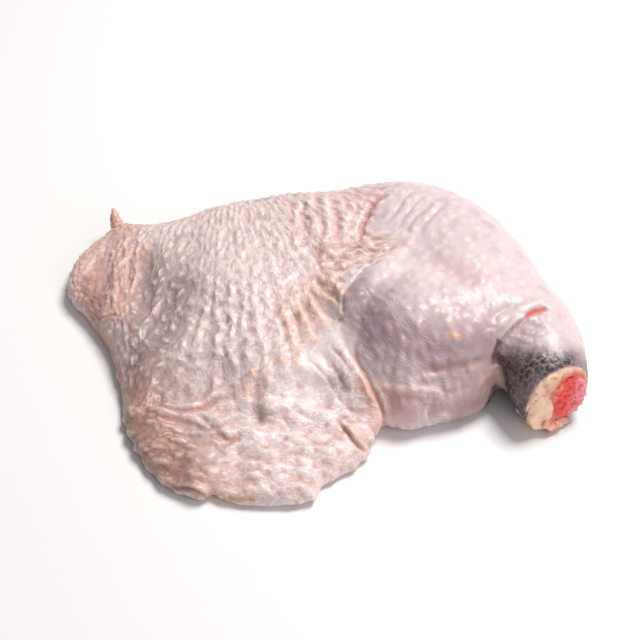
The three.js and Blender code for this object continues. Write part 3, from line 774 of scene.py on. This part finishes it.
def rod_in_cut(name, across, up, half_across, half_up, proud, buried, blunt):
    """A rod in the cut as an object, with a blunt end and an even mesh."""
    rod = bmesh.new()
    add_rod(rod, across, up, half_across, half_up, proud, buried)
    front = [face for face in rod.faces if face.normal @ Vector(cut_facing) > 0.9]
    rim = [edge for face in front for edge in face.edges]
    bmesh.ops.bevel(rod, geom=rim, offset=blunt / 1000, segments=5, profile=0.5, affect="EDGES", material=-1)
    piece = bpy.data.objects.new(name, bpy.data.meshes.new(name))
    rod.to_mesh(piece.data)
    rod.free()
    bpy.context.scene.collection.objects.link(piece)
    cells = piece.modifiers.new("even_cells", "REMESH")
    cells.mode = "VOXEL"
    cells.voxel_size = rod_cell
    softening = piece.modifiers.new("softening", "SMOOTH")
    softening.iterations = 3
    applied(piece)
    piece.data.shade_smooth()
    return piece


marrow = rod_in_cut("shin_bone_marrow", across=5.6, up=0.8, half_across=7.5, half_up=9.0,
                    proud=0.8, buried=24, blunt=1.6)
at, outward = points_of(marrow)
in_front = rising(-1.5, 0, (at - cut_at) @ cut_facing)
spongy = cloudy(at, 2.4, 61) + 0.8 * cloudy(at, 1.2, 62)
at += outward * (0.75 * spongy * in_front)[:, None]
move_points(marrow, at)
from_middle = at - cut_at
marrow_across = from_middle @ cut_across + 1.5 * cloudy(at, 3, 63)
marrow_up = from_middle @ upward + 1.5 * cloudy(at, 3, 64)
keep_value(marrow, "pink", 0.9 * rising(4, 8.5, marrow_across - 0.3 * marrow_up))
keep_value(marrow, "rim", rising(0.5, -1.5, marrow_across - 0.35 * marrow_up + 1.2))
# Painted shade: a darker red down in the pits of the spongy bone.
keep_value(marrow, "dark", 0.6 * rising(0.1, 0.6, -spongy))
wet_marrow, marrow_shader = new_material("wet_red_marrow")
marrow_colour = linear("#F4544C")
for name, hex_colour in (("pink", "#F498A0"), ("rim", "#F8BC8E"), ("dark", "#C62826")):
    mask = add_node(wet_marrow, "ShaderNodeAttribute", {}, attribute_name=name)
    marrow_colour = add_node(wet_marrow, "ShaderNodeMix", data_type="RGBA", inputs={
        0: mask.outputs["Fac"], 6: marrow_colour, 7: linear(hex_colour)}).outputs[2]
wet_marrow.node_tree.links.new(marrow_colour, marrow_shader.inputs["Base Color"])
marrow_shader.inputs["Roughness"].default_value = 0.22
marrow_shader.inputs["IOR"].default_value = 1.38
marrow_shader.inputs["Subsurface Weight"].default_value = 0.25
marrow_shader.inputs["Subsurface Radius"].default_value = (1.0, 0.25, 0.2)
marrow_shader.inputs["Subsurface Scale"].default_value = 0.002
marrow.data.materials.append(wet_marrow)
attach(marrow, "root")
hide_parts("shin_bone")

# Hock cartilage: a smooth cream cap of gristle that the cut has laid bare beside the bone.
gristle = rod_in_cut("hock_gristle", across=-6.4, up=-2.2, half_across=5.4, half_up=8.2,
                     proud=0.7, buried=10, blunt=1.4)
at, outward = points_of(gristle)
at += outward * (0.8 * cloudy(at, 3.0, 71) + 0.3 * cloudy(at, 1.5, 72))[:, None]
move_points(gristle, at)
wet_gristle, gristle_shader = new_material("wet_cream_gristle")
gristle_coordinates = add_node(wet_gristle, "ShaderNodeTexCoord", {})
gristle_cloud = add_node(wet_gristle, "ShaderNodeTexNoise",
                         {"Vector": gristle_coordinates.outputs["Object"], "Scale": 260, "Detail": 3})
gristle_colour = add_node(wet_gristle, "ShaderNodeMix", data_type="RGBA", inputs={
    0: gristle_cloud.outputs["Fac"], 6: linear("#F0AC80"), 7: linear("#FDEAD2")}).outputs[2]
wet_gristle.node_tree.links.new(gristle_colour, gristle_shader.inputs["Base Color"])
gristle_shader.inputs["Roughness"].default_value = 0.25
gristle_shader.inputs["IOR"].default_value = 1.4
gristle_shader.inputs["Subsurface Weight"].default_value = 0.4
gristle_shader.inputs["Subsurface Radius"].default_value = (1.0, 0.6, 0.35)
gristle_shader.inputs["Subsurface Scale"].default_value = 0.003
gristle.data.materials.append(wet_gristle)
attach(gristle, "root")
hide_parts("hock_cartilage")

# Torn scraps of tendon and fat that hang at the lower edge of the cut.
scraps_draft = bmesh.new()
for across, up, proud, size in (
    (-2.8, -9.6, 0.2, 2.6),
    (-5.0, -8.4, 0.0, 2.0),
    (-0.2, -10.6, 0.4, 2.0),
    (2.0, -10.2, 0.0, 1.8),
    (4.1, -10.6, 0.3, 1.5),
    (-3.6, -11.2, 0.8, 1.3),
):
    middle = (cut_at + across * cut_across + up * upward + proud * cut_facing) / 1000
    bmesh.ops.create_icosphere(scraps_draft, subdivisions=3, radius=size / 1000,
                               matrix=Matrix.Translation(middle))
scraps = bpy.data.objects.new("torn_scraps", bpy.data.meshes.new("torn_scraps"))
scraps_draft.to_mesh(scraps.data)
scraps_draft.free()
bpy.context.scene.collection.objects.link(scraps)
scrap_cells = scraps.modifiers.new("even_cells", "REMESH")
scrap_cells.mode = "VOXEL"
scrap_cells.voxel_size = rod_cell
applied(scraps)
scraps.data.shade_smooth()
at, outward = points_of(scraps)
at += outward * (0.8 * cloudy(at, 2.2, 81) + 0.3 * cloudy(at, 1.0, 82))[:, None]
at[:, 2] = np.clip(at[:, 2], 0.1, None)
move_points(scraps, at)
torn_tissue, tissue_shader = new_material("torn_tendon_and_fat")
tissue_coordinates = add_node(torn_tissue, "ShaderNodeTexCoord", {})
tissue_cloud = add_node(torn_tissue, "ShaderNodeTexNoise",
                        {"Vector": tissue_coordinates.outputs["Object"], "Scale": 300, "Detail": 2})
tissue_ramp = add_node(torn_tissue, "ShaderNodeValToRGB", {0: tissue_cloud.outputs["Fac"]})
tissue_ramp.color_ramp.elements[0].position = 0.35
tissue_ramp.color_ramp.elements[0].color = linear("#D9603C")
tissue_ramp.color_ramp.elements[1].position = 0.62
tissue_ramp.color_ramp.elements[1].color = linear("#F0C9B4")
torn_tissue.node_tree.links.new(tissue_ramp.outputs["Color"], tissue_shader.inputs["Base Color"])
tissue_shader.inputs["Roughness"].default_value = 0.25
tissue_shader.inputs["Subsurface Weight"].default_value = 0.3
tissue_shader.inputs["Subsurface Radius"].default_value = (1.0, 0.4, 0.25)
tissue_shader.inputs["Subsurface Scale"].default_value = 0.002
scraps.data.materials.append(torn_tissue)
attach(scraps, "root")
